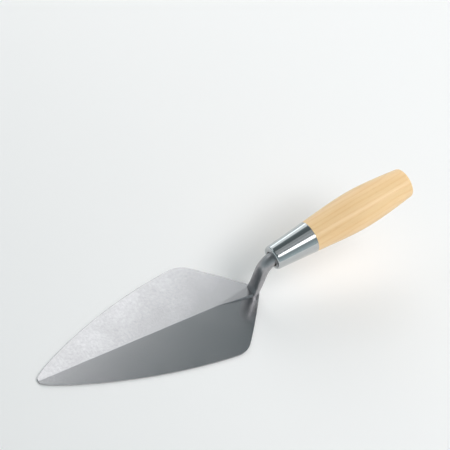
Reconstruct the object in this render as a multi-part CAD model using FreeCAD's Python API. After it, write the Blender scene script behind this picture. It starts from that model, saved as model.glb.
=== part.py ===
import FreeCAD, Part
import math
import os

# Brick trowel, narrow London pattern, millimetres.
# Origin: on the flat underside of the blade, below the foot of the shank.
# +X runs to the tip of the blade, +Z up; the XZ plane is the plane of symmetry.

V = FreeCAD.Vector

# Blade outline, seen from above
tip_reach = 245.0            # origin to the tip
blade_width = 114.3          # across the two heel corners, at the widest place
widest_from_origin = 55.6    # origin to the widest place
heel_nose_margin = 0.5       # the heel is rounded round the foot of the shank, this far outside it
heel_bow_radius = 670.0      # the two heel edges are very slightly bowed out
heel_corner_radius = 24.9
side_start_angle = 5.0       # the side leaves the heel corner turned in by this much
side_fullness = 94.1         # how far the side keeps its first direction
tip_radius = 5.9
tip_meeting_angle = 58.7     # direction of the side where it meets the tip rounding
tip_fullness = 8.4

# Blade section: flat underneath, ground down to both sides from a straight central ridge
ridge_height_at_shank = 3.0
ridge_height_at_tip = 1.8
ground_fall = 1.25           # from the ridge down to the edge at the widest place

# Boss: the flat-topped forged rib that runs from the shank out along the ridge
boss_reach = 45.0            # origin to the point of the boss
boss_width = 12.6            # at its root beside the shank
boss_height = 5.7            # top of the boss above the underside, at the shank
boss_side_draft = 14.0       # its side walls lean in by this angle

# Shank: round bar that rises from the blade and bends back into the handle
shank_diameter = 13.4
shank_lean = 5.0             # the rising part leans back from upright
bend_height = 43.5           # where the two straight axes cross, above the underside
bend_radius = 18.0           # of the bar's centre line
facet_depth = 3.3            # flat forged on the front of the foot
facet_height = 33.0          # height where that flat runs out
weld_leg = 1.6               # bevel round the foot, filled with weld and ground flush

# Tang: square taper on the end of the shank, inside the handle
shoulder_land = 2.5          # round bar left between the end of the bend and the tang shoulder
tang_length = 95.0
tang_root_width = 8.0
tang_end_width = 4.0
bedding_gap = 0.3            # least resin between the corners of the tang and the bore
bore_run_out = 2.0           # bore deeper than the tang

# Handle line and ferrule
handle_rise = 13.9           # of the handle axis above the blade plane, backwards
ferrule_from_bend = 7.4      # front of the ferrule behind the crossing of the axes
ferrule_length = 44.2
ferrule_wall = 1.0
ferrule_mouth_gap = 0.5      # between the turned-in front edge and the bar
ferrule_lip_width = 4.4      # turned-in front, from the mouth out to the tube
ferrule_front_round = 2.3
ferrule_spread = 3.85        # how much larger in radius the rear is than the front

# Wooden grip
wood_step = 0.3              # the wood lies this much below the rear of the ferrule
grip_length = 114.7          # from the ferrule to the butt
grip_greatest_diameter = 39.1
grip_end_diameter = 30.0     # where the rounding of the butt begins
grip_front_slope = 0.10      # rise of the wood as it leaves the ferrule
grip_end_slope = 0.12        # fall of the wood as it reaches the butt
butt_round_length = 3.4
butt_flat_diameter = 16.2


# Values that follow from the sizes above
half_width = blade_width / 2
shank_radius = shank_diameter / 2
heel_nose_radius = shank_radius + heel_nose_margin
lean = math.radians(shank_lean)
rise = math.radians(handle_rise)
turn = math.pi / 2 - lean - rise
bend_tangent = bend_radius * math.tan(turn / 2)

up_axis = V(-math.sin(lean), 0, math.cos(lean))
handle_axis = V(-math.cos(rise), 0, math.sin(rise))
bend_corner = up_axis * (bend_height / math.cos(lean))
bend_start = bend_corner - up_axis * bend_tangent
bend_end = bend_corner + handle_axis * bend_tangent
ferrule_front = bend_corner + handle_axis * ferrule_from_bend

# Along the handle, distances are measured from the front of the ferrule
shoulder_at = bend_tangent - ferrule_from_bend + shoulder_land

# The bar is still bending where it enters the ferrule, so the mouth lies a little below the axis
bend_in_mouth = max(0, bend_tangent - ferrule_from_bend)
bar_below_axis = bend_radius - math.sqrt((bend_radius - shank_radius) ** 2 - bend_in_mouth ** 2)
bar_above_axis = math.sqrt((bend_radius + shank_radius) ** 2 - bend_in_mouth ** 2) - bend_radius
ferrule_mouth_drop = (bar_below_axis - bar_above_axis) / 2
ferrule_mouth_radius = (bar_below_axis + bar_above_axis) / 2 + ferrule_mouth_gap
ferrule_front_radius = ferrule_mouth_radius + ferrule_lip_width
ferrule_rear_radius = ferrule_front_radius + ferrule_spread


def at(angle, radius, centre=V(0, 0, 0)):
    """Point of a circle in the blade plane, angle in radians from +X."""
    return centre + V(math.cos(angle), math.sin(angle), 0) * radius


def arc(start, middle, end):
    return Part.Arc(start, middle, end).toShape()


def line(start, end):
    return Part.LineSegment(start, end).toShape()


def bezier(*poles):
    curve = Part.BezierCurve()
    curve.setPoles(list(poles))
    return curve.toShape()


def mirrored(edge):
    return edge.mirror(V(0, 0, 0), V(0, 1, 0))


def circle_arc(centre, radius, start_angle, end_angle):
    middle = (start_angle + end_angle) / 2
    return arc(at(start_angle, radius, centre), at(middle, radius, centre), at(end_angle, radius, centre))


def behind(point, normal):
    """Large block with one face through the point, on the side away from the normal."""
    size = 4 * tip_reach
    block = Part.makeBox(size, size, size, V(-size / 2, -size / 2, -size))
    block.Placement = FreeCAD.Placement(point, FreeCAD.Rotation(V(0, 0, 1), normal))
    return block


def blade_outline():
    """Closed outline: heel nose, heel edge, heel corner, side and tip, each tangent to the next."""
    corner = V(widest_from_origin, half_width - heel_corner_radius, 0)
    reach = heel_bow_radius - heel_nose_radius
    other = heel_bow_radius - heel_corner_radius
    spread = math.acos((reach ** 2 + corner.Length ** 2 - other ** 2) / (2 * reach * corner.Length))
    bow_direction = math.atan2(corner.y, corner.x) - spread
    bow_centre = at(bow_direction, reach)
    nose_end = bow_direction + math.pi
    corner_start = math.atan2(corner.y - bow_centre.y, corner.x - bow_centre.x)
    corner_end = math.pi / 2 - math.radians(side_start_angle)
    tip_start = math.pi / 2 - math.radians(tip_meeting_angle)
    tip_centre = V(tip_reach - tip_radius, 0, 0)

    side_from = at(corner_end, heel_corner_radius, corner)
    side_to = at(tip_start, tip_radius, tip_centre)
    leaving = at(corner_end - math.pi / 2, side_fullness)
    meeting = at(tip_start - math.pi / 2, tip_fullness)

    heel = circle_arc(bow_centre, heel_bow_radius, nose_end, corner_start)
    heel_corner = circle_arc(corner, heel_corner_radius, corner_start, corner_end)
    side = bezier(side_from, side_from + leaving, side_to - meeting, side_to)
    half = [heel, heel_corner, side]
    nose = arc(at(nose_end, heel_nose_radius), V(-heel_nose_radius, 0, 0), at(-nose_end, heel_nose_radius))
    tip = arc(side_to, V(tip_reach, 0, 0), V(side_to.x, -side_to.y, 0))
    edges = half + [tip] + [mirrored(edge) for edge in half] + [nose]
    return Part.Wire(Part.__sortEdges__(edges))


def ridge_height(x):
    return ridge_height_at_shank + (ridge_height_at_tip - ridge_height_at_shank) * x / tip_reach


def ground_envelope():
    """Everything below the two ground planes, which meet along the ridge."""
    start = V(0, 0, ridge_height(0))
    along = V(tip_reach, 0, ridge_height(tip_reach)) - start
    left = along.cross(V(0, half_width, -ground_fall))
    right = V(left.x, -left.y, left.z)
    return behind(start, left).common(behind(start, right))


def make_plate():
    stock = Part.Face(blade_outline()).extrude(V(0, 0, 2 * ridge_height_at_shank))
    return stock.common(ground_envelope())


def front_facet():
    """Everything in front of the flat forged on the shank."""
    foot = V(shank_radius - facet_depth, 0, 0)
    top = up_axis * (facet_height / math.cos(lean)) + V(shank_radius / math.cos(lean), 0, 0)
    return behind(foot, (top - foot).cross(V(0, 1, 0)))


def make_bar():
    """Round bar from the top of the blade to the tang shoulder, with its front facet."""
    start = up_axis * -shank_radius
    rising = Part.makeCylinder(shank_radius, (bend_start - start).Length, start, up_axis)
    ring = Part.Face(Part.Wire(Part.makeCircle(shank_radius, bend_start, up_axis)))
    bend_axis = V(0, -1, 0)
    pivot = bend_start + bend_axis.cross(up_axis) * bend_radius
    bend = ring.revolve(pivot, bend_axis, math.degrees(turn))
    land = Part.makeCylinder(shank_radius, shoulder_land, bend_end, handle_axis)
    return rising.fuse([bend, land]).removeSplitter().cut([front_facet(), ground_envelope()])


def along_handle(shape):
    """Moves a piece turned about +Z onto the handle axis, with its origin at the ferrule's front."""
    turned = FreeCAD.Rotation(V(0, 1, 0), -90 + handle_rise)
    shape.Placement = FreeCAD.Placement(ferrule_front, turned).multiply(shape.Placement)
    return shape


def revolved(edges):
    """Solid of revolution about the Z axis from a closed profile in the XZ plane."""
    return Part.Face(Part.Wire(Part.__sortEdges__(edges))).revolve(V(0, 0, 0), V(0, 0, 1), 360)


def make_tang():
    root = tang_root_width / 2
    end = tang_end_width / 2
    taper = Part.makeWedge(-root, 0, -root, -end, -end, root, tang_length, root, end, end)
    taper.rotate(V(0, 0, 0), V(1, 0, 0), 90)
    taper.translate(V(0, 0, shoulder_at))
    return along_handle(taper)


def tang_bore():
    """Reamed taper that just clears the corners of the tang, with a little spare depth."""
    corner = math.sqrt(2) / 2
    root = tang_root_width * corner + bedding_gap
    end = tang_end_width * corner + bedding_gap
    depth = tang_length + bore_run_out
    return along_handle(Part.makeCone(root, end, depth, V(0, 0, shoulder_at)))


def weld_zone():
    """Space round the foot outside its bevel: a collar bored out by a cone that opens upwards."""
    seat = ridge_height_at_shank - ground_fall * shank_radius / half_width
    reach = 2 * weld_leg
    collar = Part.makeCylinder(shank_radius + reach, seat + 2 * reach, up_axis * -reach, up_axis)
    foot_radius = shank_radius - weld_leg
    cone_height = foot_radius + 2 * reach
    bevel = Part.makeCone(0, cone_height, cone_height, up_axis * (seat - foot_radius), up_axis)
    return collar.cut(bevel)


def make_boss(bar):
    """Flat-topped wedge from the foot of the shank to a point on the ridge, with leaning side walls."""
    point = V(boss_reach, 0, ridge_height(boss_reach))
    top_edge = V(shank_radius - facet_depth, 0, boss_height)
    top = behind(point, (point - top_edge).cross(V(0, 1, 0)))
    draft = math.radians(boss_side_draft)
    side_normal = V(boss_width / 2, boss_reach, 0).normalize() * math.cos(draft) + V(0, 0, math.sin(draft))
    left = behind(point, side_normal)
    right = behind(point, V(side_normal.x, -side_normal.y, side_normal.z))
    front = behind(V(0, 0, 0), V(-1, 0, 0))
    above = behind(V(0, 0, 0), V(0, 0, -1))
    return top.common(left).common(right).common(front).common(above).cut(bar)


def make_shank(bar):
    return bar.cut(weld_zone()).fuse(make_tang()).removeSplitter()


def tube_cone(inset, start):
    """Solid taper of the ferrule tube, inset by a wall, from a start plane to the ferrule's rear."""
    def radius(z):
        return ferrule_front_radius + ferrule_spread * z / ferrule_length - inset

    return Part.makeCone(radius(start), radius(ferrule_length), ferrule_length - start, V(0, 0, start))


def rounded_front(cone, radius):
    front = min(cone.Edges, key=lambda edge: edge.BoundBox.ZMax)
    return cone.makeFillet(radius, [front])


def make_ferrule():
    outside = rounded_front(tube_cone(0, 0), ferrule_front_round)
    inside = rounded_front(tube_cone(ferrule_wall, ferrule_wall), ferrule_front_round - ferrule_wall)
    mouth_centre = V(-ferrule_mouth_drop, 0, -ferrule_wall / 2)
    mouth = Part.makeCylinder(ferrule_mouth_radius, 2 * ferrule_wall, mouth_centre)
    return along_handle(outside.cut(inside).cut(mouth))


def make_handle():
    """Turned grip with a tapered tenon that fills the ferrule behind the tang shoulder."""
    front_radius = ferrule_rear_radius - wood_step
    end_radius = grip_end_diameter / 2
    pole_radius = (4 * grip_greatest_diameter - front_radius - end_radius) / 6
    grip_end = ferrule_length + grip_length
    round_start = grip_end - butt_round_length
    flat_radius = butt_flat_diameter / 2
    round_handle = 0.55

    front = V(front_radius, 0, ferrule_length)
    end = V(end_radius, 0, round_start)
    front_pole = V(pole_radius, 0, ferrule_length + (pole_radius - front_radius) / grip_front_slope)
    end_pole = V(pole_radius, 0, round_start - (pole_radius - end_radius) / grip_end_slope)
    butt = V(flat_radius, 0, grip_end)
    butt_out = V(end_radius - grip_end_slope * round_handle * butt_round_length, 0,
                 round_start + round_handle * butt_round_length)
    butt_in = V(flat_radius + round_handle * (end_radius - flat_radius), 0, grip_end)

    profile = [
        line(V(0, 0, ferrule_length), front),
        bezier(front, front_pole, end_pole, end),
        bezier(end, butt_out, butt_in, butt),
        line(butt, V(0, 0, grip_end)),
        line(V(0, 0, grip_end), V(0, 0, ferrule_length)),
    ]
    tenon = tube_cone(ferrule_wall, shoulder_at)
    grip = along_handle(revolved(profile).fuse(tenon))
    return grip.cut(tang_bore())


def make_bedding():
    return tang_bore().cut(make_tang())


def export(name, shape):
    shape.exportStep(os.path.join("parts", name + ".step"))


os.makedirs("parts", exist_ok=True)
plate = make_plate()
bar = make_bar()
export("blade", plate.fuse(make_boss(bar)).removeSplitter())
export("shank", make_shank(bar))
export("shank_weld", bar.common(weld_zone()))
export("ferrule", make_ferrule())
export("handle", make_handle())
export("tang_bedding", make_bedding())
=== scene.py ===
import math

import bmesh
import bpy
from bpy.props import FloatProperty, FloatVectorProperty, PointerProperty
from bpy.types import Operator, Panel, PropertyGroup
from mathutils import Matrix, Vector


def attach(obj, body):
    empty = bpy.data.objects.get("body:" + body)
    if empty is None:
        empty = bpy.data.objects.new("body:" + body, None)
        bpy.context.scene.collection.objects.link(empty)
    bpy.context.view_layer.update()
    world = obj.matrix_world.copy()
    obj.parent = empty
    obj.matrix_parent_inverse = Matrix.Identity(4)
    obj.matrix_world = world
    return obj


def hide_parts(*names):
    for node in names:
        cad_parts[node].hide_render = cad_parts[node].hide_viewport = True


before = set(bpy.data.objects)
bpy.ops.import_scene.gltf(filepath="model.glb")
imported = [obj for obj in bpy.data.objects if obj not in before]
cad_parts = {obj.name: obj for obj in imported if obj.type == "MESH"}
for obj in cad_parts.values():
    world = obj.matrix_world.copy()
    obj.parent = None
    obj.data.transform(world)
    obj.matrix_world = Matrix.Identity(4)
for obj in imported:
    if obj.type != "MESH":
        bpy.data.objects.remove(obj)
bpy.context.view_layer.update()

bl_info = {
    "name": "Brick Trowel",
    "version": (1, 0, 0),
    "blender": (4, 5, 0),
    "location": "View3D > Sidebar > Trowel",
    "description": "Builds the finished pieces of a brick trowel round its CAD frame",
    "category": "Object",
}

BODY = "root"
SIDE = Vector((0, 1, 0))
UP = Vector((0, 0, 1))
MM = 0.001
DIAGONAL = math.sqrt(2) / 2         # half the diagonal of a square of side 1

MERGE_DISTANCE = 0.002 * MM         # vertices closer than this are one
ARC_STEP = 9                        # degrees, largest step along a rounded corner of a profile
RING_STEP = 0.7 * MM                # between two rings of the bar
TUBE_STEP = 1.2 * MM                # between two rings of the ferrule
BORE_STEP = 1.5 * MM                # between two rings of the bore and tenon
BEND_RINGS = 40
BARREL_RINGS = 110
BUTT_RINGS = 20
BUTT_FACE_RINGS = 8
FADE_START = 0.5 * MM               # above the seat, where the forged flat begins to soften
FADE_END = 10 * MM                  # above the seat, where it is fully soft


# ---------------------------------------------------------------- settings

def length(name, description, default):
    return FloatProperty(name=name, description=description, default=default,
                         unit="LENGTH", precision=5)


def angle(name, description, degrees):
    return FloatProperty(name=name, description=description, default=math.radians(degrees),
                         subtype="ANGLE")


def factor(name, description, default):
    return FloatProperty(name=name, description=description, default=default,
                         min=0.0, max=1.0, subtype="FACTOR")


def plain(name, description, default):
    return FloatProperty(name=name, description=description, default=default)


def colour(name, description, default):
    return FloatVectorProperty(name=name, description=description, default=default, size=3,
                               min=0.0, max=1.0, subtype="COLOR")


class BladeSettings(PropertyGroup):
    edge_softening: length("Edge Softening", "Width of the rounding along the blade's outline", 0.35 * MM)
    steel: colour("Steel", "Colour of the ground steel", (0.556, 0.547, 0.558))
    steel_deep: colour("Steel in Hollows", "Colour of the slightly deeper grinding marks",
                       (0.502, 0.495, 0.508))
    stain: colour("Stain", "Colour of the faint clouds on the steel", (0.495, 0.486, 0.494))
    mottle_scale: plain("Mottle Scale", "Fineness of the mottle", 420.0)
    cloud_scale: plain("Cloud Scale", "Fineness of the clouds", 28.0)
    scratch_turn: angle("Scratch Turn", "Turn of the grinding scratches from straight across", 7)
    grain_height: length("Grain Height", "Depth of the scratches and mottle", 0.003 * MM)
    gloss_low: factor("Roughness, Smooth", "Roughness where the blade is smoothest", 0.20)
    gloss_high: factor("Roughness, Matt", "Roughness where the blade is most matt", 0.24)


class ShankSettings(PropertyGroup):
    bar_diameter: length("Bar Diameter", "Diameter of the round bar", 13.4 * MM)
    lean: angle("Lean", "How far the rising part leans back from upright", 5.0)
    bend_height: length("Bend Height", "Where the two straight axes cross, above the underside", 43.5 * MM)
    bend_radius: length("Bend Radius", "Radius of the bar's centre line in the bend", 18.0 * MM)
    facet_depth: length("Facet Depth", "Depth of the flat forged on the front of the foot", 3.3 * MM)
    facet_height: length("Facet Height", "Height where that flat runs out", 33.0 * MM)
    facet_softness: length("Facet Softness", "How gently that flat fades into the round bar", 3.0 * MM)
    seat_height: length("Seat Height", "Top of the blade where the shank stands on it", 2.85 * MM)
    foot_bevel: length("Foot Bevel", "Bevel round the foot that the weld fills", 1.6 * MM)
    shoulder_land: length("Shoulder Land", "Round bar between the bend and the tang", 2.5 * MM)
    tang_length: length("Tang Length", "Length of the square taper inside the handle", 95.0 * MM)
    tang_root: length("Tang Root", "Width of the tang at the shoulder", 8.0 * MM)
    tang_end: length("Tang End", "Width of the tang at its end", 4.0 * MM)
    steel: colour("Steel", "Colour of the linished steel", (0.45, 0.44, 0.45))
    steel_deep: colour("Steel in Hollows", "Colour of the hammer marks", (0.36, 0.35, 0.36))
    dent_scale: plain("Hammer Mark Scale", "Fineness of the hammer marks", 130.0)
    dent_height: length("Hammer Mark Height", "Depth of the hammer marks", 0.22 * MM)
    grain_scale: plain("Grain Scale", "Fineness of the satin grain", 1300.0)
    grain_height: length("Grain Height", "Depth of the satin grain", 0.02 * MM)
    gloss_low: factor("Roughness, Smooth", "Roughness where the bar is smoothest", 0.27)
    gloss_high: factor("Roughness, Matt", "Roughness where the bar is most matt", 0.42)
    weld: colour("Weld", "Colour of the ground weld", (0.42, 0.41, 0.42))
    weld_deep: colour("Weld in Hollows", "Colour of the weld's hollows", (0.35, 0.34, 0.35))


class FerruleSettings(PropertyGroup):
    from_bend: length("From Bend", "Front of the ferrule behind the crossing of the axes", 7.4 * MM)
    length: length("Length", "Length of the ferrule", 44.2 * MM)
    wall: length("Wall", "Thickness of the tube", 1.0 * MM)
    mouth_gap: length("Mouth Gap", "Between the turned-in front edge and the bar, still bending there",
                      0.5 * MM)
    lip_width: length("Lip Width", "Turned-in front, from the mouth out to the tube", 4.4 * MM)
    front_round: length("Front Round", "Rounding of the front edge", 2.3 * MM)
    spread: length("Spread", "How much larger in radius the rear is than the front", 3.85 * MM)
    ripple: length("Ripple", "Height of the faint waves left by spinning the tube", 0.02 * MM)
    metal: colour("Metal", "Colour of the polished metal", (0.55, 0.562, 0.568))
    dull: colour("Dull Metal", "Colour of the duller patches", (0.50, 0.515, 0.523))
    line_height: length("Line Height", "Depth of the hair-fine spinning lines", 0.0025 * MM)
    gloss_low: factor("Roughness, Bright", "Roughness where the metal is brightest", 0.07)
    gloss_high: factor("Roughness, Dull", "Roughness where the metal is dullest", 0.17)


class GripSettings(PropertyGroup):
    rise: angle("Rise", "Angle of the handle above the blade", 13.9)
    length: length("Length", "From the ferrule to the butt", 114.7 * MM)
    greatest_diameter: length("Greatest Diameter", "Diameter at the middle of the grip", 39.1 * MM)
    end_diameter: length("End Diameter", "Diameter where the butt begins to round over", 30.0 * MM)
    wood_step: length("Wood Step", "How far the wood lies below the ferrule", 0.3 * MM)
    front_slope: plain("Front Slope", "Rise of the wood behind the ferrule", 0.10)
    end_slope: plain("End Slope", "Fall of the wood towards the butt", 0.12)
    butt_round: length("Butt Round", "Length of the rounding at the butt", 3.4 * MM)
    butt_flat: length("Butt Flat", "Diameter of the flat on the butt", 16.2 * MM)
    butt_fullness: factor("Butt Fullness", "How far the butt's rounding keeps its first directions", 0.55)
    turning_waves: length("Turning Waves", "Height of the faint waves left by turning", 0.05 * MM)
    bore_gap: length("Bore Gap", "Resin between the tang's corners and the bore", 0.3 * MM)
    bore_run_out: length("Bore Run Out", "Bore deeper than the tang", 2.0 * MM)
    ring_spacing: length("Ring Spacing", "Distance between two growth rings", 4.6 * MM)
    wood_light: colour("Light Wood", "Colour of the pale wood between the rings", (0.98, 0.68, 0.37))
    wood_dark: colour("Dark Wood", "Colour of the growth rings", (0.90, 0.57, 0.28))
    pore: colour("Pores", "Colour of the short open pores", (0.62, 0.38, 0.17))
    fibre_height: length("Fibre Height", "Relief of the fibres and pores", 0.05 * MM)
    ring_shift: plain("Ring Shift", "Unevenness of the rings, in ring spacings", 1.1)
    resin: colour("Resin", "Colour of the resin round the tang", (0.32, 0.20, 0.07))
    resin_cloudy: colour("Cloudy Resin", "Colour of its cloudy patches", (0.42, 0.29, 0.12))


class StageSettings(PropertyGroup):
    azimuth: angle("Azimuth", "Direction of the camera round the trowel", 130.533)
    elevation: angle("Elevation", "Height of the camera above the horizon", 46.062)
    roll: angle("Roll", "Turn of the camera about its own axis", 18.439)
    distance: length("Distance", "From the camera to the point it looks at", 2.430422)
    aim_x: length("Aim X", "Point on the floor that the camera looks at", -27.694 * MM)
    aim_y: length("Aim Y", "Point on the floor that the camera looks at", -82.169 * MM)
    lens: plain("Lens", "Focal length in millimetres", 199.78)
    floor: colour("Floor", "Colour of the pale floor", (0.95, 0.925, 0.915))
    room: colour("Room", "Colour of the room round the stage", (0.80, 0.96, 1.0))
    floor_size: length("Floor Size", "Width of the floor", 8.0)
    floor_drop: length("Floor Drop", "How far the floor lies below the blade", 0.05 * MM)
    horizon: plain("Horizon", "Brightness of the room near the floor", 0.71)
    zenith: plain("Zenith", "Brightness of the room overhead", 0.16)
    zenith_height: plain("Zenith Height", "Sine of the height where that brightness is reached", 0.85)


class TrowelSettings(PropertyGroup):
    blade: PointerProperty(type=BladeSettings)
    shank: PointerProperty(type=ShankSettings)
    ferrule: PointerProperty(type=FerruleSettings)
    grip: PointerProperty(type=GripSettings)
    stage: PointerProperty(type=StageSettings)


def settings():
    return bpy.context.scene.trowel


# ---------------------------------------------------------------- handle line

class HandleLine:
    """The two straight axes of the bar and the bend between them, in the frame's own axes."""

    def __init__(self):
        shank = settings().shank
        rise = settings().grip.rise
        self.up = Vector((-math.sin(shank.lean), 0, math.cos(shank.lean)))
        self.back = Vector((-math.cos(rise), 0, math.sin(rise)))
        self.over = Vector((math.sin(rise), 0, math.cos(rise)))
        self.turn = math.pi / 2 - shank.lean - rise
        self.tangent = shank.bend_radius * math.tan(self.turn / 2)
        self.corner = self.up * (shank.bend_height / math.cos(shank.lean))
        self.bend_start = self.corner - self.up * self.tangent
        self.front = self.corner + self.back * settings().ferrule.from_bend
        self.shoulder = self.tangent - settings().ferrule.from_bend + shank.shoulder_land

        ferrule = settings().ferrule
        radius = shank.bar_diameter / 2
        still_bending = max(0, self.tangent - ferrule.from_bend)
        bar_below = shank.bend_radius - math.sqrt((shank.bend_radius - radius) ** 2 - still_bending ** 2)
        bar_above = math.sqrt((shank.bend_radius + radius) ** 2 - still_bending ** 2) - shank.bend_radius
        self.mouth_drop = (bar_below - bar_above) / 2
        self.mouth_radius = (bar_below + bar_above) / 2 + ferrule.mouth_gap
        self.front_radius = self.mouth_radius + ferrule.lip_width
        self.rear_radius = self.front_radius + ferrule.spread

    def at(self, along):
        """Point of the handle axis at a distance behind the ferrule's front."""
        return self.front + self.back * along

    def turned(self, profile):
        """Rings (centre, direction, radius) of a turned profile of (along, radius) points."""
        return [(self.at(along), self.over, radius) for along, radius in profile]


def rounded_profile(corners, closed, step):
    """Replaces each corner (along, radius, rounding) with an arc and divides long straights."""
    points = []
    count = len(corners)
    for i, (along, radius, rounding) in enumerate(corners):
        corner = Vector((along, radius))
        if rounding == 0 or (not closed and i in (0, count - 1)):
            points.append(corner)
            continue
        before = Vector(corners[i - 1][:2]) - corner
        after = Vector(corners[(i + 1) % count][:2]) - corner
        half = before.angle(after) / 2
        setback = rounding / math.tan(half)
        start = corner + before.normalized() * setback
        end = corner + after.normalized() * setback
        inward = (before.normalized() + after.normalized()).normalized()
        centre = corner + inward * (rounding / math.sin(half))
        sweep = (start - centre).angle(end - centre)
        pieces = max(3, math.ceil(math.degrees(sweep) / ARC_STEP))
        for k in range(pieces + 1):
            share = k / pieces
            a = math.sin((1 - share) * sweep) / math.sin(sweep)
            b = math.sin(share * sweep) / math.sin(sweep)
            points.append(centre + (start - centre) * a + (end - centre) * b)
    if closed:
        points.append(points[0].copy())
    divided = [points[0]]
    for start, end in zip(points, points[1:]):
        pieces = max(1, math.ceil((end - start).length / step))
        divided += [start.lerp(end, k / pieces) for k in range(1, pieces + 1)]
    return [(point.x, point.y) for point in divided]


def bezier_points(p0, p1, p2, p3, pieces):
    """Points along a cubic curve, without its first one."""
    points = []
    for k in range(1, pieces + 1):
        t = k / pieces
        s = 1 - t
        points.append(tuple(s ** 3 * a + 3 * s * s * t * b + 3 * s * t * t * c + t ** 3 * d
                            for a, b, c, d in zip(p0, p1, p2, p3)))
    return points


# ---------------------------------------------------------------- round pieces by geometry nodes

class Graph:
    """Adds nodes to a node tree and wires them as it goes."""

    def __init__(self, tree):
        self.tree = tree

    def add(self, kind, inputs=None, **attributes):
        node = self.tree.nodes.new(kind)
        for name, value in attributes.items():
            setattr(node, name, value)
        for key, value in (inputs or {}).items():
            self.feed(node.inputs[key], value)
        return node

    def feed(self, socket, value):
        if isinstance(value, bpy.types.NodeSocket):
            self.tree.links.new(value, socket)
        else:
            socket.default_value = value

    def maths(self, operation, *values):
        return self.add("ShaderNodeMath", dict(enumerate(values)), operation=operation).outputs[0]

    def vector(self, operation, *values, output=0, **named):
        node = self.add("ShaderNodeVectorMath", dict(enumerate(values)), operation=operation)
        for name, value in named.items():
            self.feed(node.inputs[name], value)
        return node.outputs[output]


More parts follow.
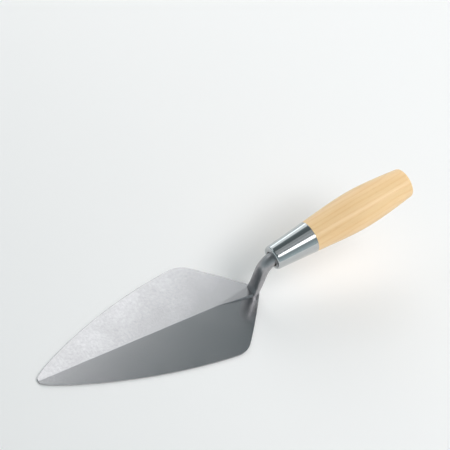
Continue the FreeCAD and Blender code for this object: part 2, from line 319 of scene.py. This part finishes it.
def round_piece_tree():
    """Geometry nodes: a round skin on a spine whose points carry a direction and a radius."""
    name = "Round piece on a spine"
    if name in bpy.data.node_groups:
        return bpy.data.node_groups[name]
    tree = bpy.data.node_groups.new(name, "GeometryNodeTree")
    sockets = [
        ("Spine", "NodeSocketGeometry", None),
        ("Steps Around", "NodeSocketInt", 96),
        ("Start Angle", "NodeSocketFloat", 0.0),
        ("Ripple Height", "NodeSocketFloat", 0.0),
        ("Ripple Scale", "NodeSocketFloat", 120.0),
        ("Seed", "NodeSocketInt", 7),
        ("Flat Point", "NodeSocketVector", (1.0, 0.0, 0.0)),
        ("Flat Normal", "NodeSocketVector", (1.0, 0.0, 0.0)),
        ("Flat Softness", "NodeSocketFloat", 0.0),
        ("Seat Height", "NodeSocketFloat", -1.0),
        ("Material", "NodeSocketMaterial", None),
    ]
    for label, kind, default in sockets:
        socket = tree.interface.new_socket(label, in_out="INPUT", socket_type=kind)
        if default is not None:
            socket.default_value = default
    tree.interface.new_socket("Mesh", in_out="OUTPUT", socket_type="NodeSocketGeometry")

    graph = Graph(tree)
    given = graph.add("NodeGroupInput").outputs
    size = graph.add("GeometryNodeAttributeDomainSize", {"Geometry": given["Spine"]}).outputs["Point Count"]
    columns = graph.maths("ADD", given["Steps Around"], 1.0)
    grid = graph.add("GeometryNodeMeshGrid", {"Size X": 1.0, "Size Y": 1.0,
                                              "Vertices X": size, "Vertices Y": columns})
    place = graph.add("ShaderNodeSeparateXYZ", {0: graph.add("GeometryNodeInputPosition").outputs[0]})
    share = graph.maths("ADD", place.outputs["X"], 0.5)
    row = graph.maths("ROUND", graph.maths("MULTIPLY", share, graph.maths("SUBTRACT", size, 1.0)))
    turn = graph.maths("MULTIPLY", graph.maths("ADD", place.outputs["Y"], 0.5), math.tau)
    turn = graph.maths("ADD", turn, given["Start Angle"])

    def along_spine(kind, value):
        node = graph.add("GeometryNodeSampleIndex", {"Geometry": given["Spine"], "Index": row},
                         data_type=kind)
        graph.feed(node.inputs["Value"], value)
        return node.outputs[0]

    def stored(kind, label):
        return graph.add("GeometryNodeInputNamedAttribute", {"Name": label}, data_type=kind).outputs[0]

    centre = along_spine("FLOAT_VECTOR", graph.add("GeometryNodeInputPosition").outputs[0])
    across = along_spine("FLOAT_VECTOR", stored("FLOAT_VECTOR", "across"))
    reach = along_spine("FLOAT", stored("FLOAT", "reach"))
    outward = graph.vector("ADD", graph.vector("SCALE", across, Scale=graph.maths("COSINE", turn)),
                           graph.vector("SCALE", tuple(SIDE), Scale=graph.maths("SINE", turn)))
    skin = graph.vector("ADD", centre, graph.vector("SCALE", outward, Scale=reach))

    noise = graph.add("ShaderNodeTexNoise", {"Vector": skin, "W": given["Seed"],
                                             "Scale": given["Ripple Scale"], "Detail": 1.0},
                      noise_dimensions="4D").outputs[0]
    ripple = graph.maths("MULTIPLY", graph.maths("SUBTRACT", noise, 1.0), given["Ripple Height"])
    solid_there = graph.maths("GREATER_THAN", reach, 1e-5)
    ripple = graph.maths("MULTIPLY", ripple, solid_there)
    skin = graph.vector("ADD", skin, graph.vector("SCALE", outward, Scale=ripple))

    from_flat = graph.vector("SUBTRACT", skin, given["Flat Point"])
    proud = graph.vector("DOT_PRODUCT", from_flat, given["Flat Normal"], output="Value")
    height = graph.add("ShaderNodeSeparateXYZ", {0: skin}).outputs["Z"]
    above_seat = graph.maths("SUBTRACT", height, given["Seat Height"])
    softness = graph.add("ShaderNodeMapRange", {"Value": above_seat, "From Min": FADE_START,
                                                "From Max": FADE_END, "To Min": 0.0,
                                                "To Max": given["Flat Softness"]},
                         interpolation_type="SMOOTHSTEP").outputs[0]
    squared = graph.maths("MULTIPLY", softness, softness)
    rounded = graph.maths("SQRT", graph.maths("MULTIPLY_ADD", proud, proud, squared))
    proud = graph.maths("MULTIPLY", graph.maths("ADD", proud, rounded), 0.5)
    skin = graph.vector("SUBTRACT", skin, graph.vector("SCALE", given["Flat Normal"], Scale=proud))
    parts = graph.add("ShaderNodeSeparateXYZ", {0: skin}).outputs
    height = graph.maths("MAXIMUM", parts["Z"], given["Seat Height"])
    skin = graph.add("ShaderNodeCombineXYZ", {"X": parts["X"], "Y": parts["Y"], "Z": height}).outputs[0]

    shaped = graph.add("GeometryNodeSetPosition", {"Geometry": grid.outputs["Mesh"], "Position": skin})
    merged = graph.add("GeometryNodeMergeByDistance", {"Geometry": shaped.outputs[0],
                                                       "Distance": MERGE_DISTANCE})
    smooth = graph.add("GeometryNodeSetShadeSmooth", {"Geometry": merged.outputs[0]})
    realized = graph.add("GeometryNodeRealizeInstances", {"Geometry": smooth.outputs[0]})
    finished = graph.add("GeometryNodeSetMaterial", {"Geometry": realized.outputs[0],
                                                     "Material": given["Material"]})
    graph.add("NodeGroupOutput", {0: finished.outputs[0]})
    return tree


def round_piece(name, rings, material, **values):
    """Plain mesh object made by the geometry nodes from rings of (centre, direction, radius)."""
    spine = bpy.data.meshes.new(name + "_spine")
    spine.from_pydata([ring[0] for ring in rings], [(i, i + 1) for i in range(len(rings) - 1)], [])
    across = spine.attributes.new("across", "FLOAT_VECTOR", "POINT")
    across.data.foreach_set("vector", [part for ring in rings for part in ring[1]])
    reach = spine.attributes.new("reach", "FLOAT", "POINT")
    reach.data.foreach_set("value", [ring[2] for ring in rings])
    carrier = bpy.data.objects.new(name + "_spine", spine)
    bpy.context.scene.collection.objects.link(carrier)
    modifier = carrier.modifiers.new("Round piece", "NODES")
    modifier.node_group = round_piece_tree()
    for item in modifier.node_group.interface.items_tree:
        if item.in_out == "INPUT" and item.name in values:
            modifier[item.identifier] = values[item.name]
        elif item.in_out == "INPUT" and item.name == "Material":
            modifier[item.identifier] = material
    evaluated = carrier.evaluated_get(bpy.context.evaluated_depsgraph_get())
    mesh = bpy.data.meshes.new_from_object(evaluated)
    bpy.data.objects.remove(carrier)
    bpy.data.meshes.remove(spine)
    close_and_face_outwards(mesh)
    return new_object(name, mesh, material)


def close_and_face_outwards(mesh):
    """Merges the seam and the poles of a round skin and turns its normals outwards."""
    work = bmesh.new()
    work.from_mesh(mesh)
    bmesh.ops.remove_doubles(work, verts=work.verts, dist=MERGE_DISTANCE)
    bmesh.ops.dissolve_degenerate(work, edges=work.edges, dist=1e-7)
    bmesh.ops.recalc_face_normals(work, faces=work.faces)
    work.to_mesh(mesh)
    work.free()


def new_object(name, mesh, material):
    """Links a mesh as an object at the origin, with one material."""
    mesh.name = name
    mesh.materials.clear()
    mesh.materials.append(material)
    piece = bpy.data.objects.new(name, mesh)
    bpy.context.scene.collection.objects.link(piece)
    return piece


def joined(name, pieces, material):
    """One object whose mesh holds all the pieces' meshes."""
    work = bmesh.new()
    for piece in pieces:
        work.from_mesh(piece.data)
        bpy.data.objects.remove(piece)
    mesh = bpy.data.meshes.new(name)
    work.to_mesh(mesh)
    work.free()
    return new_object(name, mesh, material)


def smooth_below(mesh, degrees):
    """Smooth shading, except over edges sharper than an angle."""
    mesh.shade_smooth()
    mesh.set_sharp_from_angle(angle=math.radians(degrees))


def register_piece(piece, slot, *nodes):
    """Hides the CAD nodes that a piece replaces and hangs the piece on the body it rides on; the slot
    argument is not used.
    """
    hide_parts(*nodes)
    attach(piece, BODY)


# ---------------------------------------------------------------- finishes

class Finish(Graph):
    """A Principled material and the nodes that drive it, all on object coordinates."""

    def __init__(self, name, **uniform):
        self.material = bpy.data.materials.new(name)
        self.material.use_nodes = True
        super().__init__(self.material.node_tree)
        self.shader = self.tree.nodes["Principled BSDF"]
        for label, value in uniform.items():
            self.shader.inputs[label.replace("_", " ")].default_value = value
        self.object = self.add("ShaderNodeTexCoord").outputs["Object"]

    def mapped(self, scale=(1, 1, 1), location=(0, 0, 0), rotation=(0, 0, 0), kind="POINT"):
        return self.add("ShaderNodeMapping", {"Vector": self.object, "Location": location,
                                              "Rotation": rotation, "Scale": scale},
                        vector_type=kind).outputs[0]

    def along_handle(self):
        """Coordinates with X along the handle's axis, from the front of the ferrule."""
        return self.mapped(location=HandleLine().front, kind="TEXTURE",
                           rotation=(0, math.pi + settings().grip.rise, 0))

    def noise(self, vector, scale, detail=2.0, roughness=0.5):
        return self.add("ShaderNodeTexNoise", {"Vector": vector, "Scale": scale, "Detail": detail,
                                               "Roughness": roughness}).outputs[0]

    def stretched_noise(self, vector, scales, detail=2.0, roughness=0.5):
        return self.noise(self.vector("MULTIPLY", vector, scales), 1.0, detail, roughness)

    def ranged(self, value, low, high, to_low, to_high):
        return self.add("ShaderNodeMapRange", {"Value": value, "From Min": low, "From Max": high,
                                               "To Min": to_low, "To Max": to_high}).outputs[0]

    def mixed(self, share, first, second):
        node = self.add("ShaderNodeMix", data_type="RGBA")
        self.feed(node.inputs[0], share)
        self.feed(node.inputs[6], first if isinstance(first, bpy.types.NodeSocket) else (*first, 1))
        self.feed(node.inputs[7], second if isinstance(second, bpy.types.NodeSocket) else (*second, 1))
        return node.outputs[2]

    def bump(self, height, distance, strength=1.0, normal=None):
        node = self.add("ShaderNodeBump", {"Height": height, "Distance": distance, "Strength": strength})
        if normal is not None:
            self.feed(node.inputs["Normal"], normal)
        return node.outputs[0]

    def output(self, **inputs):
        for label, value in inputs.items():
            self.feed(self.shader.inputs[label.replace("_", " ")], value)
        return self.material


def ground_steel():
    """Taper-ground blade: fine cross scratches, a soft mottle and faint cloudy staining."""
    blade = settings().blade
    finish = Finish("ground_steel", Metallic=1.0)
    mottle = finish.noise(finish.object, blade.mottle_scale, detail=4.0, roughness=0.6)
    clouds = finish.noise(finish.object, blade.cloud_scale, detail=3.0)
    crosswise = finish.mapped(scale=(2600.0, 90.0, 400.0), rotation=(0, 0, blade.scratch_turn))
    scratches = finish.noise(crosswise, 1.0)
    grain = finish.maths("ADD", finish.maths("MULTIPLY", mottle, 0.65),
                         finish.maths("MULTIPLY", scratches, 0.35))
    share = finish.ranged(grain, 0.39, 0.61, 0.0, 1.0)
    metal = finish.mixed(share, tuple(blade.steel), tuple(blade.steel_deep))
    metal = finish.mixed(finish.ranged(clouds, 0.38, 0.68, 0.0, 0.5), metal, tuple(blade.stain))
    dullness = finish.maths("ADD", grain, clouds)
    roughness = finish.ranged(dullness, 0.75, 1.25, blade.gloss_low, blade.gloss_high)
    normal = finish.bump(grain, blade.grain_height)
    return finish.output(Base_Color=metal, Roughness=roughness, Normal=normal)


def forged_steel(name, steel, steel_deep):
    """Forged and linished steel: shallow hammer marks under a fine satin grain."""
    shank = settings().shank
    finish = Finish(name, Metallic=1.0)
    dents = finish.noise(finish.object, shank.dent_scale, roughness=0.45)
    grain = finish.noise(finish.object, shank.grain_scale, detail=3.0, roughness=0.6)
    share = finish.ranged(dents, 0.3, 0.72, 0.0, 1.0)
    metal = finish.mixed(share, tuple(steel), tuple(steel_deep))
    dullness = finish.maths("ADD", grain, dents)
    roughness = finish.ranged(dullness, 0.7, 1.3, shank.gloss_low, shank.gloss_high)
    normal = finish.bump(dents, shank.dent_height, 0.8)
    normal = finish.bump(grain, shank.grain_height, 0.8, normal)
    return finish.output(Base_Color=metal, Roughness=roughness, Normal=normal)


def polished_metal():
    """Polished tube with hair-fine spinning lines round it and a few duller patches."""
    ferrule = settings().ferrule
    finish = Finish("polished_ferrule", Metallic=1.0)
    local = finish.along_handle()
    lines = finish.stretched_noise(local, (5200.0, 60.0, 60.0), detail=1.0)
    patches = finish.noise(local, 160.0, detail=3.0)
    share = finish.ranged(patches, 0.35, 0.7, 0.0, 0.5)
    metal = finish.mixed(share, tuple(ferrule.metal), tuple(ferrule.dull))
    dullness = finish.maths("ADD", lines, patches)
    roughness = finish.ranged(dullness, 0.7, 1.3, ferrule.gloss_low, ferrule.gloss_high)
    normal = finish.bump(lines, ferrule.line_height)
    return finish.output(Base_Color=metal, Roughness=roughness, Normal=normal)


def turned_wood():
    """Pale ring-porous wood: growth rings cut lengthwise, short pores, fibres and a thin varnish."""
    grip = settings().grip
    finish = Finish("pale_hardwood", Coat_Weight=0.4, Coat_Roughness=0.2, Coat_IOR=1.55)
    finish.shader.inputs["Specular IOR Level"].default_value = 0.35
    local = finish.along_handle()

    # the tree's pith lies beside the handle and slants a little against its axis
    sway = finish.stretched_noise(local, (9.0, 40.0, 40.0))
    swayed = finish.vector("ADD", local, finish.vector("SCALE", (0.0, 4 * MM, 6 * MM), Scale=sway))
    pith = finish.vector("ADD", finish.vector("MULTIPLY", swayed, (0.04, 1.0, 1.0)),
                         (0.0, 31 * MM, 22 * MM))
    across = finish.add("ShaderNodeSeparateXYZ", {0: pith}).outputs
    slant = finish.maths("ADD", across["Z"], across["X"])
    offset = finish.add("ShaderNodeCombineXYZ", {"Y": across["Y"], "Z": slant}).outputs[0]
    radius = finish.vector("LENGTH", offset, output="Value")
    uneven = finish.stretched_noise(local, (7.0, 110.0, 110.0))
    ring = finish.maths("MULTIPLY_ADD", uneven, grip.ring_shift,
                        finish.maths("DIVIDE", radius, grip.ring_spacing))
    ring = finish.maths("FRACT", ring)
    early = finish.maths("SMOOTH_MIN", finish.ranged(ring, 0.0, 0.16, 0.0, 1.0),
                         finish.ranged(ring, 0.62, 1.0, 1.0, 0.0), 0.15)

    fibre = finish.stretched_noise(local, (26.0, 900.0, 900.0), detail=3.0, roughness=0.6)
    pores = finish.stretched_noise(local, (130.0, 2600.0, 2600.0), detail=1.0)
    clouds = finish.stretched_noise(local, (16.0, 60.0, 60.0))
    tone = finish.maths("ADD", finish.maths("MULTIPLY", early, 0.34), finish.maths("MULTIPLY", fibre, 0.46))
    tone = finish.maths("ADD", tone, finish.ranged(clouds, 0.3, 0.7, -0.2, 0.2))
    share = finish.ranged(tone, 0.05, 0.8, 0.0, 1.0)
    wood = finish.mixed(share, tuple(grip.wood_dark), tuple(grip.wood_light))
    pore_share = finish.maths("MULTIPLY", finish.ranged(pores, 0.60, 0.70, 0.0, 0.25),
                              finish.ranged(early, 0.2, 0.7, 1.0, 0.25))
    wood = finish.mixed(pore_share, wood, tuple(grip.pore))
    roughness = finish.ranged(fibre, 0.3, 0.7, 0.42, 0.55)
    normal = finish.bump(finish.maths("SUBTRACT", fibre, pore_share), grip.fibre_height, 0.6)
    return finish.output(Base_Color=wood, Roughness=roughness, Normal=normal)


def cast_resin():
    """Amber resin with cloudy patches and small bubbles."""
    grip = settings().grip
    finish = Finish("cast_resin", IOR=1.52)
    clouds = finish.noise(finish.object, 150.0, detail=3.0)
    bubbles = finish.add("ShaderNodeTexVoronoi", {"Vector": finish.object, "Scale": 900.0})
    share = finish.ranged(clouds, 0.3, 0.7, 0.0, 1.0)
    tint = finish.mixed(share, tuple(grip.resin), tuple(grip.resin_cloudy))
    roughness = finish.ranged(clouds, 0.3, 0.7, 0.25, 0.4)
    normal = finish.bump(bubbles.outputs["Distance"], 0.08 * MM, 0.5)
    return finish.output(Base_Color=tint, Roughness=roughness, Normal=normal)


# ---------------------------------------------------------------- operators

class TROWEL_OT_blade(Operator):
    """Blade: the CAD solid's own faces, merged, with the edges of its outline slightly rounded"""
    bl_idname = "trowel.blade"
    bl_label = "Make Blade"

    def on_rim(self, edge):
        """True where an upright face of the outline meets the top or the underside."""
        upright = [abs(face.normal.z) < 0.1 for face in edge.link_faces]
        return upright[0] != upright[1] and edge.calc_face_angle() > math.radians(60)

    def execute(self, context):
        softening = settings().blade.edge_softening
        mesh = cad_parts["blade"].data.copy()
        mesh.transform(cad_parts["blade"].matrix_world)
        work = bmesh.new()
        work.from_mesh(mesh)
        bmesh.ops.remove_doubles(work, verts=work.verts, dist=MERGE_DISTANCE)
        bmesh.ops.dissolve_limit(work, angle_limit=math.radians(0.4), verts=work.verts, edges=work.edges)
        rim = [edge for edge in work.edges if len(edge.link_faces) == 2 and self.on_rim(edge)]
        bmesh.ops.bevel(work, geom=rim, offset=softening, offset_type="OFFSET", segments=3, profile=0.5,
                        affect="EDGES", clamp_overlap=True)
        bmesh.ops.recalc_face_normals(work, faces=work.faces)
        work.to_mesh(mesh)
        work.free()
        smooth_below(mesh, 1.2)
        register_piece(new_object("trowel_blade", mesh, ground_steel()), "ground_steel", "blade")
        return {"FINISHED"}


class TROWEL_OT_shank(Operator):
    """Shank: round bar with its forged front flat, bent back and drawn out to a square tang"""
    bl_idname = "trowel.shank"
    bl_label = "Make Shank"

    def rings(self, line):
        shank = settings().shank
        radius = shank.bar_diameter / 2
        foot = radius - shank.foot_bevel
        seat = shank.seat_height
        low = seat - 2 * shank.foot_bevel
        profile = [(low, 0.0), (low, foot), (seat, foot), (seat + shank.foot_bevel, radius)]
        rise = line.bend_start.length
        start = seat + shank.foot_bevel
        steps = math.ceil((rise - start) / RING_STEP)
        profile += [(start + (rise - start) * k / steps, radius) for k in range(1, steps + 1)]
        ahead = SIDE.cross(line.up)
        rings = [(line.up * height, ahead, reach) for height, reach in profile]
        pivot = line.bend_start - ahead * shank.bend_radius
        for k in range(1, BEND_RINGS + 1):
            turned = Matrix.Rotation(-line.turn * k / BEND_RINGS, 3, "Y") @ ahead
            rings.append((pivot + turned * shank.bend_radius, turned, radius))
        corners = [(line.shoulder - shank.shoulder_land, radius, 0), (line.shoulder, radius, 0.3 * MM),
                   (line.shoulder, 0.0, 0)]
        shoulder = rounded_profile(corners, False, RING_STEP)
        return rings + line.turned(shoulder[1:])

    def execute(self, context):
        shank = settings().shank
        line = HandleLine()
        steel = forged_steel("forged_steel", shank.steel, shank.steel_deep)
        radius = shank.bar_diameter / 2
        upright = math.cos(shank.lean)
        foot = Vector((radius - shank.facet_depth, 0, 0))
        top = line.up * (shank.facet_height / upright) + Vector((radius / upright, 0, 0))
        flat = SIDE.cross(top - foot).normalized()
        bar = round_piece("bar", self.rings(line), steel, **{
            "Steps Around": 128, "Flat Point": foot, "Flat Normal": flat,
            "Flat Softness": shank.facet_softness, "Seat Height": shank.seat_height})
        end = line.shoulder + shank.tang_length
        taper = [(line.shoulder, 0.0), (line.shoulder, shank.tang_root * DIAGONAL),
                 (end, shank.tang_end * DIAGONAL), (end, 0.0)]
        tang = round_piece("tang", line.turned(taper), steel, **{
            "Steps Around": 4, "Start Angle": math.pi / 4})
        piece = joined("trowel_shank", [bar, tang], steel)
        smooth_below(piece.data, 35)
        register_piece(piece, "forged_steel", "shank")
        return {"FINISHED"}


class TROWEL_OT_ferrule(Operator):
    """Ferrule: tapered sheet tube with a rounded, turned-in front edge"""
    bl_idname = "trowel.ferrule"
    bl_label = "Make Ferrule"

    def execute(self, context):
        ferrule = settings().ferrule
        line = HandleLine()
        mouth, front, rear = line.mouth_radius, line.front_radius, line.rear_radius
        inner_front = front - ferrule.wall + ferrule.spread * ferrule.wall / ferrule.length
        corners = [
            (0, mouth, 0.35 * MM), (0, front, ferrule.front_round), (ferrule.length, rear, 0.3 * MM),
            (ferrule.length, rear - ferrule.wall, 0.2 * MM),
            (ferrule.wall, inner_front, ferrule.front_round - ferrule.wall),
            (ferrule.wall, mouth, 0.35 * MM),
        ]
        rings = []
        flat_edge = front - ferrule.front_round
        for centre, across, radius in line.turned(rounded_profile(corners, True, TUBE_STEP)):
            drop = min(1, max(0, (flat_edge - radius) / (flat_edge - mouth)))
            rings.append((centre - line.over * line.mouth_drop * drop, across, radius))
        piece = round_piece("trowel_ferrule", rings, polished_metal(), **{
            "Steps Around": 160, "Ripple Height": ferrule.ripple, "Ripple Scale": 90.0, "Seed": 11})
        smooth_below(piece.data, 50)
        register_piece(piece, "polished_ferrule", "ferrule")
        return {"FINISHED"}


class TROWEL_OT_grip(Operator):
    """Handle: turned wood with a swelled grip, a rounded butt, a tenon and the bore for the tang"""
    bl_idname = "trowel.grip"
    bl_label = "Make Handle"

    def profile(self, line):
        """Closed (along, radius) profile: bore, tenon, swelled barrel, rounded butt and its flat."""
        grip = settings().grip
        ferrule = settings().ferrule
        shank = settings().shank

        def tenon_radius(along):
            return line.front_radius + ferrule.spread * along / ferrule.length - ferrule.wall

        rear = ferrule.length
        lead = 1.5 * MM
        bore_end = line.shoulder + shank.tang_length + grip.bore_run_out
        front = line.rear_radius - grip.wood_step
        inner = [
            (bore_end, 0.0, 0), (bore_end, shank.tang_end * DIAGONAL + grip.bore_gap, 0),
            (line.shoulder, shank.tang_root * DIAGONAL + grip.bore_gap, 0),
            (line.shoulder, tenon_radius(line.shoulder), 0.2 * MM),
            (rear, tenon_radius(rear), 0), (rear, front, 0.25 * MM),
            (rear + lead, front + lead * grip.front_slope, 0),
        ]
        end = rear + grip.length
        round_start = end - grip.butt_round
        side = grip.end_diameter / 2
        flat = grip.butt_flat / 2
        pole = (4 * grip.greatest_diameter - front - side) / 6
        barrel = bezier_points((rear, front), (rear + (pole - front) / grip.front_slope, pole),
                               (round_start - (pole - side) / grip.end_slope, pole), (round_start, side),
                               BARREL_RINGS)
        pull = grip.butt_fullness * grip.butt_round
        butt = bezier_points((round_start, side), (round_start + pull, side - grip.end_slope * pull),
                             (end, flat + grip.butt_fullness * (side - flat)), (end, flat), BUTT_RINGS)
        face = [(end, flat * (1 - k / BUTT_FACE_RINGS)) for k in range(1, BUTT_FACE_RINGS + 1)]
        inner_points = rounded_profile(inner, False, BORE_STEP)
        barrel_start = inner_points[-1][0] + 0.4 * MM
        return inner_points + [point for point in barrel if point[0] > barrel_start] + butt + face

    def execute(self, context):
        line = HandleLine()
        piece = round_piece("trowel_handle", line.turned(self.profile(line)), turned_wood(), **{
            "Steps Around": 160, "Ripple Height": settings().grip.turning_waves, "Ripple Scale": 40.0,
            "Seed": 5})
        smooth_below(piece.data, 40)
        register_piece(piece, "pale_hardwood", "handle")
        return {"FINISHED"}


class TROWEL_OT_joints(Operator):
    """Weld and bedding: the two joining masses keep their CAD solids and get their finishes"""
    bl_idname = "trowel.joints"
    bl_label = "Finish Weld and Bedding"

    def execute(self, context):
        shank = settings().shank
        weld = forged_steel("weld_metal", shank.weld, shank.weld_deep)
        for node, material in (("shank_weld", weld), ("tang_bedding", cast_resin())):
            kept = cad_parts[node]
            if not kept.material_slots:
                kept.data.materials.append(material)
            for slot in kept.material_slots:
                slot.material = material
        return {"FINISHED"}


class TROWEL_OT_stage(Operator):
    """Stage: pale floor, soft studio lights and the camera"""
    bl_idname = "trowel.stage"
    bl_label = "Make Stage"

    def floor(self, stage):
        finish = Finish("floor")
        share = finish.ranged(finish.noise(finish.object, 2.0), 0.3, 0.7, 0.0, 1.0)
        pale = finish.mixed(share, tuple(stage.floor), tuple(0.99 * part for part in stage.floor))
        half = stage.floor_size / 2
        corners = [(-half, -half), (half, -half), (half, half), (-half, half)]
        mesh = bpy.data.meshes.new("floor")
        mesh.from_pydata([(*corner, -stage.floor_drop) for corner in corners], [], [(0, 1, 2, 3)])
        new_object("floor", mesh, finish.output(Base_Color=pale, Roughness=0.8))

    def softbox(self, name, centre, towards, width, height, radiance, edge=UP, mirrored=True):
        """Rectangular light that shines from its centre towards a point; edge is its height direction."""
        light = bpy.data.lights.new(name, "AREA")
        light.shape = "RECTANGLE"
        light.size = width
        light.size_y = height
        light.energy = radiance * math.pi * width * height
        lamp = bpy.data.objects.new(name, light)
        lamp.visible_glossy = mirrored
        back = (Vector(centre) - Vector(towards)).normalized()
        right = edge.cross(back).normalized()
        up = back.cross(right)
        turned = Matrix((right, up, back)).transposed().to_4x4()
        lamp.matrix_world = Matrix.Translation(centre) @ turned
        bpy.context.scene.collection.objects.link(lamp)

    def lights(self):
        """The panels that the metal mirrors, and two that only light the wood and the floor."""
        grip = (-0.48, 0, 0.05)
        self.softbox("blade_panel", (-0.787, -0.982, 1.106), (0.1, 0, 0), 0.404, 1.264, 1.6,
                     edge=Vector((-0.727, -0.108, -0.678)))
        self.softbox("right_panel", (-0.48, 0.95, 1.22), grip, 1.0, 0.62, 1.7)
        self.softbox("right_strip", (-0.465, 0.92, 1.185), grip, 1.0, 0.2, 3.6)
        self.softbox("top_fill", (-0.10, 0.50, 1.95), (-0.10, 0, 0), 1.2, 0.55, 0.38)
        self.softbox("ceiling_panel", (-0.05, -0.1, 2.9), (-0.05, -0.1, 0), 1.0, 0.8, 0.3, edge=SIDE)
        self.softbox("low_panel", (-0.35, -1.45, 0.46), (-0.35, 0, 0.05), 0.8, 0.34, 1.7)
        self.softbox("low_glow", (-0.25, -1.50, 1.02), (-0.25, 0, 0.05), 0.8, 0.56, 0.8)
        self.softbox("left_fill", (0.75, -1.16, 1.16), (0, 0, 0), 1.0, 0.8, 0.75)
        self.softbox("rim", (-0.55, -1.35, 0.95), (-0.1, 0, 0.05), 1.0, 1.0, 1.6, mirrored=False)
        self.softbox("key", (-0.88, 0.74, 1.64), (0, 0, 0), 1.2, 1.2, 3.5, mirrored=False)

    def room(self, stage):
        """World background that is brightest at the horizon and dims towards the zenith."""
        world = bpy.data.worlds.new("room")
        world.use_nodes = True
        graph = Graph(world.node_tree)
        direction = graph.add("ShaderNodeTexCoord").outputs["Generated"]
        height = graph.add("ShaderNodeSeparateXYZ", {0: direction}).outputs["Z"]
        level = graph.add("ShaderNodeMapRange", {"Value": height, "From Min": 0.0,
                                                 "From Max": stage.zenith_height,
                                                 "To Min": stage.horizon,
                                                 "To Max": stage.zenith}).outputs[0]
        background = world.node_tree.nodes["Background"]
        graph.feed(background.inputs["Strength"], level)
        background.inputs["Color"].default_value = (*stage.room, 1)
        bpy.context.scene.world = world

    def camera(self, stage):
        level = math.cos(stage.elevation)
        back = Vector((math.sin(stage.azimuth) * level, -math.cos(stage.azimuth) * level,
                       math.sin(stage.elevation)))
        right = UP.cross(back).normalized()
        up = back.cross(right)
        turned = Matrix((right, up, back)).transposed() @ Matrix.Rotation(stage.roll, 3, "Z")
        data = bpy.data.cameras.new("camera")
        data.lens = stage.lens
        data.clip_start = 0.05
        camera = bpy.data.objects.new("camera", data)
        eye = Vector((stage.aim_x, stage.aim_y, 0)) + back * stage.distance
        camera.matrix_world = Matrix.Translation(eye) @ turned.to_4x4()
        bpy.context.scene.collection.objects.link(camera)
        bpy.context.scene.camera = camera

    def execute(self, context):
        stage = settings().stage
        self.floor(stage)
        self.lights()
        self.room(stage)
        self.camera(stage)
        context.scene.view_settings.view_transform = "Standard"
        return {"FINISHED"}


STEPS = (TROWEL_OT_stage, TROWEL_OT_blade, TROWEL_OT_shank, TROWEL_OT_ferrule, TROWEL_OT_grip,
         TROWEL_OT_joints)


class TROWEL_PT_panel(Panel):
    """Lists the trowel's settings and the buttons that make its pieces"""
    bl_idname = "TROWEL_PT_panel"
    bl_label = "Brick Trowel"
    bl_space_type = "VIEW_3D"
    bl_region_type = "UI"
    bl_category = "Trowel"

    def draw(self, context):
        for group in ("blade", "shank", "ferrule", "grip", "stage"):
            values = getattr(context.scene.trowel, group)
            box = self.layout.box()
            box.label(text=group.capitalize())
            for name in values.__annotations__:
                box.prop(values, name)
        for step in STEPS:
            self.layout.operator(step.bl_idname)


CLASSES = (BladeSettings, ShankSettings, FerruleSettings, GripSettings, StageSettings, TrowelSettings,
           *STEPS, TROWEL_PT_panel)


def register():
    for cls in CLASSES:
        bpy.utils.register_class(cls)
    bpy.types.Scene.trowel = PointerProperty(type=TrowelSettings)


def unregister():
    del bpy.types.Scene.trowel
    for cls in reversed(CLASSES):
        bpy.utils.unregister_class(cls)


def main():
    register()
    bpy.ops.trowel.stage()
    bpy.ops.trowel.blade()
    bpy.ops.trowel.shank()
    bpy.ops.trowel.ferrule()
    bpy.ops.trowel.grip()
    bpy.ops.trowel.joints()


if __name__ == "__main__":
    main()
